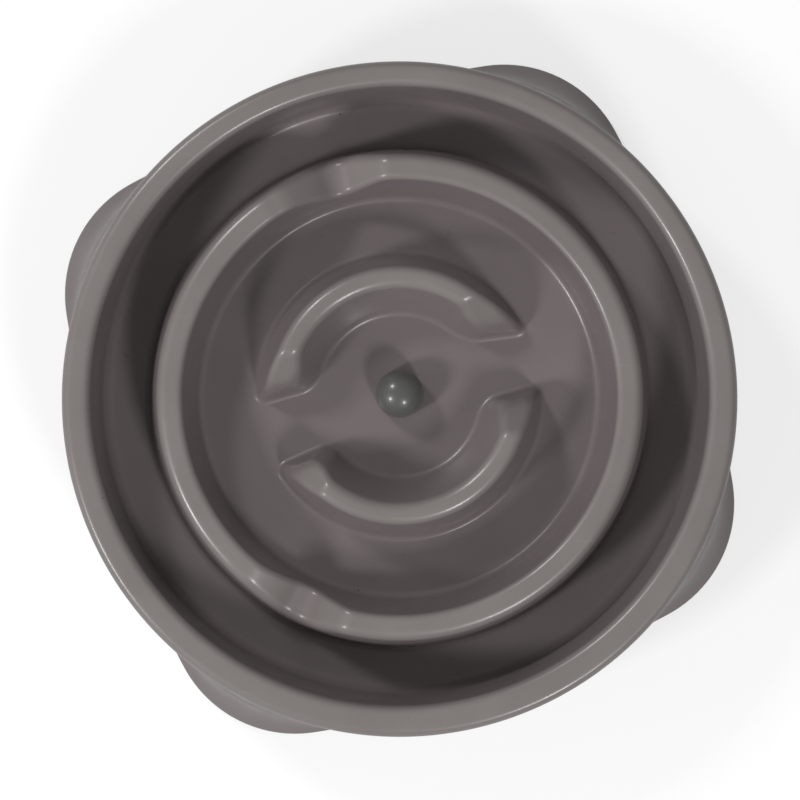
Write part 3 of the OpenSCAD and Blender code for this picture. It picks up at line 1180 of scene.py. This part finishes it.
    def posts(self, surface: Surface) -> None:
        """Adds the hollow posts that hold the pads.

        Args:
            surface: Surface to add them to.
        """
        round_turns = np.arange(self.post_turns) * 2.0 * np.pi / self.post_turns
        for number in range(self.lobes.count):
            turn = math.radians(self.lobes.turn + number * 360.0 / self.lobes.count)
            middle = self.post_axis_r * np.array([math.cos(turn), math.sin(turn)])
            rows = [[[*middle, self.lobe_under(middle, turn)]]]
            for radius, height in (
                (self.post_r, None),
                (self.post_r, self.post_foot_h + self.post_edge),
                (self.post_r - self.post_edge, self.post_foot_h),
                (self.post_hole_r, self.post_foot_h),
                (self.post_hole_r, self.post_hole_h),
            ):
                ring = middle + radius * np.column_stack((np.cos(round_turns), np.sin(round_turns)))
                tops = [self.lobe_under(place, turn) if height is None else height for place in ring]
                rows.append(np.column_stack((ring, tops)))
            rows.append([[*middle, self.post_hole_h]])
            held = [surface.hold(np.array(row)) for row in rows]
            for first, second in zip(held[1:], held):
                surface.band(first, second)

    def lobe_under(self, place: Array, turn: float) -> float:
        """Height in the middle of a lobe's wall above a place on the table.

        Args:
            place: The place, as x and y.
            turn: Direction of the lobe, in radians.

        Returns:
            The height, no more than that of the post's top.
        """
        lobes = self.lobes
        axis = lobes.axis_r * np.array([math.cos(turn), math.sin(turn)])
        off = max(float(np.linalg.norm(place - axis)), lobes.top_r)
        fall = math.sqrt(max(lobes.sweep_r**2 - (lobes.sweep_axis_r - off) ** 2, 0.0))
        return min(self.post_top_h, lobes.sweep_axis_h(self.edge_gap) - fall - self.wall_t / 2.0)

    def mark_wear_and_sheen(self, mesh: bpy.types.Mesh) -> None:
        """Marks the raised and level surfaces, which are worn most and are coloured lighter as painted sheen,
        while the low ones stay darker as painted shade.

        Args:
            mesh: Mesh of the bowl.
        """
        places = np.empty(len(mesh.vertices) * 3)
        normals = np.empty(len(mesh.vertices) * 3)
        mesh.vertices.foreach_get("co", places)
        mesh.vertices.foreach_get("normal", normals)
        height = places[2::3] / MM
        level = normals[2::3]
        raised = ease((height - self.sheen_wear_from_h) / self.sheen_wear_over_h)
        open_above = ease((level - self.sheen_wear_from_level) / self.sheen_wear_over_level)
        mask = mesh.attributes.new(WEAR_AND_SHEEN, "FLOAT", "POINT")
        mask.data.foreach_set("value", raised * open_above)

    def build(self) -> bpy.types.Object:
        """Makes the bowl.

        Returns:
            The new piece.
        """
        angles = self.angles()
        grid = np.array([row.points(angles) for row in self.upper_rows(angles)])
        surface = Surface()
        upper = [surface.hold(points) for points in grid]
        hole_end = surface.hold(np.array([[0.0, self.knob_shift, self.stem_hole_h]]))
        socket_end = surface.hold(np.array([[0.0, self.knob_shift, self.socket_end_h]]))
        under = [surface.hold(points) for points in self.under_rows(grid, angles)]
        loops = ([*upper, hole_end], [socket_end, *under, upper[0]])
        for loop in loops:
            for first, second in zip(loop, loop[1:]):
                surface.band(first, second)
        self.posts(surface)
        piece = surface.piece("moulded_bowl")
        self.mark_wear_and_sheen(piece.data)
        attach(piece, BODY)
        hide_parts("bowl_body")
        dress(piece, BOWL_PLASTIC)
        return piece


@dataclass(frozen=True)
class CentreKnob:
    """Domed knob on a stem, pressed into the socket in the floor."""

    top_h: float
    stem_foot_h: float
    radius: float
    shift: float
    floor_h: float
    stem_r: float = 3.0
    seat_round: float = 0.5
    side_lead: float = 2.0
    dome_steps: int = 26
    seat_steps: int = 5
    turns: int = 96

    def build(self) -> bpy.types.Object:
        """Makes the knob.

        Returns:
            The new piece.
        """
        dome_h = self.top_h - self.radius
        dome = arc_points((0.0, dome_h), self.radius, 90.0, 0.0, self.dome_steps)
        seat_axis = (self.radius - self.seat_round, self.floor_h + self.seat_round)
        seat = arc_points(seat_axis, self.seat_round, 0.0, -90.0, self.seat_steps)
        stem = [[self.stem_r, self.floor_h], [self.stem_r, self.stem_foot_h + self.seat_round]]
        foot = [[self.stem_r - self.seat_round, self.stem_foot_h], [0.0, self.stem_foot_h]]
        side = [[self.radius, dome_h - self.side_lead], [self.radius, self.floor_h + self.seat_round]]
        profile = np.vstack(([[0.0, self.top_h]], dome, side, seat, stem, foot))
        surface = Surface()
        surface.turned(profile, (0.0, self.shift), self.turns)
        piece = surface.piece("domed_centre_knob")
        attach(piece, BODY)
        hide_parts("centre_knob")
        dress(piece, KNOB_PLASTIC_WITH_PAINTED_SHADE)
        return piece


@dataclass(frozen=True)
class NonSlipPad:
    """Grooved rubber pad with a stem, pressed into the post under a foot lobe."""

    number: int
    middle: tuple[float, float]
    radius: float
    stem_top_h: float
    thickness: float = 3.0
    edge_round: float = 1.0
    edge_steps: int = 6
    top_edge: float = 0.3
    stem_r: float = 2.0
    stem_edge: float = 0.4
    groove_r: tuple[float, ...] = (2.4, 4.2)
    groove_w: float = 0.7
    groove_d: float = 0.5
    groove_draft: float = 0.1
    turns: int = 64

    def build(self) -> bpy.types.Object:
        """Makes the pad.

        Returns:
            The new piece.
        """
        stem = [[0.0, self.stem_top_h], [self.stem_r - self.stem_edge, self.stem_top_h]]
        stem += [[self.stem_r, self.stem_top_h - self.stem_edge], [self.stem_r, self.thickness]]
        top = [[self.radius - self.top_edge, self.thickness], [self.radius, self.thickness - self.top_edge]]
        axis = (self.radius - self.edge_round, self.edge_round)
        edge = arc_points(axis, self.edge_round, 0.0, -90.0, self.edge_steps)
        face = []
        for middle in sorted(self.groove_r, reverse=True):
            outer = middle + self.groove_w / 2.0
            inner = middle - self.groove_w / 2.0
            face += [[outer, 0.0], [outer - self.groove_draft, self.groove_d]]
            face += [[inner + self.groove_draft, self.groove_d], [inner, 0.0]]
        profile = np.vstack((stem, top, edge, face, [[0.0, 0.0]]))
        surface = Surface()
        surface.turned(profile, self.middle, self.turns)
        piece = surface.piece(f"grooved_pad_{self.number}")
        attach(piece, BODY)
        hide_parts(f"non_slip_pad_{self.number}")
        dress(piece, PAD_RUBBER)
        return piece


@dataclass(frozen=True)
class Lamp:
    """Square soft lamp that faces the bowl, with its sizes in metres."""

    name: str
    turn: float
    elevation: float
    power: float
    side: float = 0.36
    away: float = 2.2

    def hang(self) -> None:
        """Adds the lamp to the scene."""
        turn = math.radians(self.turn)
        lift = math.radians(self.elevation)
        way = Vector((math.cos(turn) * math.cos(lift), math.sin(turn) * math.cos(lift), math.sin(lift)))
        light = bpy.data.lights.new(self.name, "AREA")
        light.shape = "SQUARE"
        light.size = self.side
        light.energy = self.power
        lamp = bpy.data.objects.new(self.name, light)
        lamp.location = way * self.away
        lamp.rotation_mode = "QUATERNION"
        lamp.rotation_quaternion = way.to_track_quat("Z", "Y")
        lamp.visible_camera = False
        bpy.context.scene.collection.objects.link(lamp)


@dataclass(frozen=True)
class Studio:
    """Camera straight above the bowl, soft lamps, a white floor and a white surround, sized in metres."""

    camera_h: float = 1.3
    lens: float = 143.7
    sensor: float = 36.0
    near_clip: float = 0.05
    far_clip: float = 20.0
    frame_px: int = 800
    rim_middle_px: tuple[float, float] = (399.6, 399.1)
    rim_top_h: float = 0.05
    ambient: float = 0.27
    floor_tone: float = 0.34
    floor_lift: float = 0.66
    floor_in_gloss: float = 0.7
    floor_side: float = 6.0
    lamps: tuple[Lamp, ...] = field(
        default_factory=lambda: (
            Lamp("left back lamp", turn=133.0, elevation=39.0, power=16.5),
            Lamp("left front lamp", turn=209.0, elevation=39.0, power=21.5),
            Lamp("right front lamp", turn=298.0, elevation=42.0, power=19.0),
        )
    )

    def stand_camera(self) -> None:
        """Adds the camera, so that the rim's middle falls on its pixel."""
        data = bpy.data.cameras.new("camera above the bowl")
        data.lens = self.lens
        data.sensor_width = self.sensor
        data.sensor_height = self.sensor
        data.clip_start = self.near_clip
        data.clip_end = self.far_clip
        camera = bpy.data.objects.new("camera above the bowl", data)
        pixel = (self.camera_h - self.rim_top_h) * self.sensor / self.lens / self.frame_px
        off_x = (self.rim_middle_px[0] - self.frame_px / 2.0) * pixel
        off_y = (self.frame_px / 2.0 - self.rim_middle_px[1]) * pixel
        camera.location = (-off_x, -off_y, self.camera_h)
        bpy.context.scene.collection.objects.link(camera)
        bpy.context.scene.camera = camera

    def seen_directly(self, bench: NodeBench, in_gloss: float) -> Socket:
        """Share of the full white at which something is seen.

        Args:
            bench: Bench of the world or material.
            in_gloss: Share in glossy reflections, where it is 1 for the camera.

        Returns:
            The socket of the share.
        """
        path = bench.add("ShaderNodeLightPath").outputs
        mirrored = bench.sum_of(MathKind.TIMES, path["Is Glossy Ray"], in_gloss)
        return bench.sum_of(MathKind.MOST, path["Is Camera Ray"], mirrored)

    def light_surround(self) -> None:
        """Makes the world white where it is seen, and a weak even light elsewhere."""
        world = bpy.data.worlds.new("white surround")
        world.use_nodes = True
        bench = NodeBench(world.node_tree)
        strength = bench.spread(self.seen_directly(bench, 0.0), 0.0, 1.0, self.ambient, 1.0)
        shader = bench.add("ShaderNodeBackground", {"Color": WHITE, "Strength": strength})
        bench.add("ShaderNodeOutputWorld", {"Surface": shader.outputs[0]})
        bpy.context.scene.world = world

    def lay_floor(self) -> None:
        """Adds the white floor, which keeps the bowl's shadow."""
        half = self.floor_side / 2.0
        mesh = bpy.data.meshes.new("studio_floor")
        corners = [(-half, -half, 0.0), (half, -half, 0.0), (half, half, 0.0), (-half, half, 0.0)]
        mesh.from_pydata(corners, [], [(0, 1, 2, 3)])
        floor = bpy.data.objects.new("studio_floor", mesh)
        bpy.context.scene.collection.objects.link(floor)
        paint = bpy.data.materials.new("white floor")
        paint.use_nodes = True
        bench = NodeBench(paint.node_tree)
        lift = bench.spread(self.seen_directly(bench, self.floor_in_gloss), 0.0, 1.0, 0.0, self.floor_lift)
        tone = (self.floor_tone, self.floor_tone, self.floor_tone, 1.0)
        matt = bench.add("ShaderNodeBsdfDiffuse", {"Color": tone})
        glow = bench.add("ShaderNodeEmission", {"Color": WHITE, "Strength": lift})
        both = bench.add("ShaderNodeAddShader", {0: matt.outputs[0], 1: glow.outputs[0]})
        bench.add("ShaderNodeOutputMaterial", {"Surface": both.outputs[0]})
        mesh.materials.append(paint)

    def build(self) -> None:
        """Sets up the camera, the lamps, the surround and the floor."""
        bpy.context.scene.view_settings.view_transform = "Standard"
        self.stand_camera()
        self.light_surround()
        self.lay_floor()
        for lamp in self.lamps:
            lamp.hang()


def report(piece: bpy.types.Object) -> None:
    """Logs a finished piece."""
    LOG.info("%s: %d faces", piece.name, len(piece.data.polygons))


def main() -> None:
    """Loads the frame, builds every piece and the studio."""
    logging.basicConfig(level=logging.INFO, format="%(name)s: %(message)s")
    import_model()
    body_low, body_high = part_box("bowl_body")
    bowl = BowlBody(top_h=body_high.z / MM, edge_gap=body_low.z / MM)
    report(bowl.build())
    knob_low, knob_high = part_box("centre_knob")
    knob = CentreKnob(
        top_h=knob_high.z / MM,
        stem_foot_h=knob_low.z / MM,
        radius=(knob_high.x - knob_low.x) / 2.0 / MM,
        shift=(knob_high.y + knob_low.y) / 2.0 / MM,
        floor_h=bowl.floor_h,
    )
    report(knob.build())
    for number in range(1, bowl.lobes.count + 1):
        low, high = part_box(f"non_slip_pad_{number}")
        pad = NonSlipPad(
            number=number,
            middle=((low.x + high.x) / 2.0 / MM, (low.y + high.y) / 2.0 / MM),
            radius=(high.x - low.x) / 2.0 / MM,
            stem_top_h=high.z / MM,
        )
        report(pad.build())
    Studio().build()


if __name__ == "__main__":
    main()
